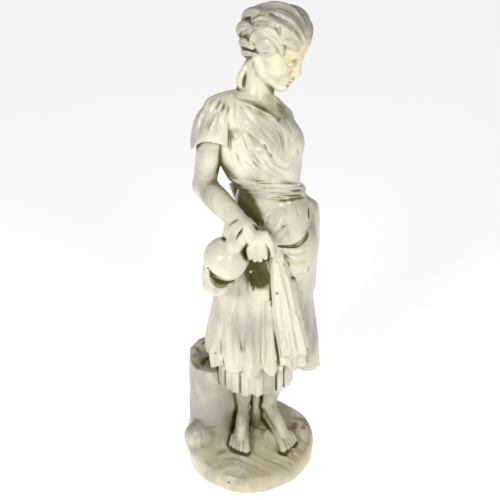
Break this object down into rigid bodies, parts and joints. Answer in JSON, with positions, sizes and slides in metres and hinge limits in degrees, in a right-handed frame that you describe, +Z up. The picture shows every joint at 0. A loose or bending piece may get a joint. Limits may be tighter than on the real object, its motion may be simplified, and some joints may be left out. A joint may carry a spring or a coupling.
{
  "type": "carved stone statue of a standing girl with a jug",
  "caption": "Carved marble figure of a barefoot girl in a draped dress, a jug hanging from her wrist, standing beside a tree stump on a round rocky base.",
  "frame": {"origin": "centre of the flat round underside of the base", "axes": "+Z up; the feet point towards -Y; the girl looks towards +X and a little towards -Y; the jug hangs on the -X side"},
  "size_m": [0.2493, 0.2365, 0.8006],
  "materials": {
    "statue": "polished cream-white marble with grey veils and brown dirt in the hollows"
  },
  "bodies": {
    "root": {"statue": "statue"}
  },
  "joints": []
}
